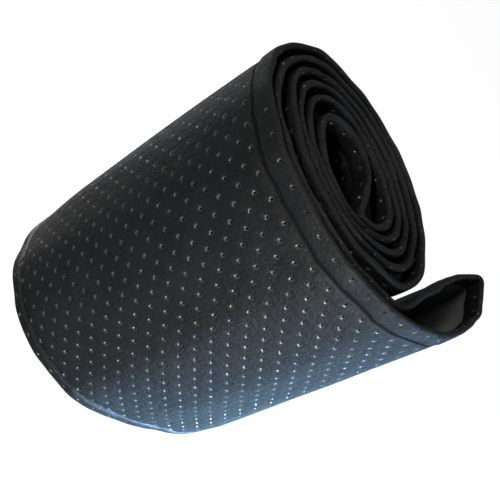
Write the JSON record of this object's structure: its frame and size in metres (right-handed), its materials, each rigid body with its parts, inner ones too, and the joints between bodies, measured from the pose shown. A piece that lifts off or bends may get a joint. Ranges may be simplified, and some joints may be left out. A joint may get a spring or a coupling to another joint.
{
  "type": "steering wheel cover",
  "caption": "Closed ring of perforated black leather with stitched hems, pressed flat in two layers and rolled up, its outer end left as an open loop.",
  "frame": {"origin": "centre of the bounding box at its base, in the plane of the lower hem that the roll stands on", "axes": "+Z along the roll's axis, up from the rim it stands on; -Y is the front, the side the loose loop is led around; +X is the side where the loose loop stands out"},
  "size_m": [0.0806, 0.0666, 0.095],
  "materials": {
    "black_leather": "semi-gloss, fine grain, perforated"
  },
  "bodies": {
    "root": {"leather_ring": "black_leather"}
  },
  "joints": []
}
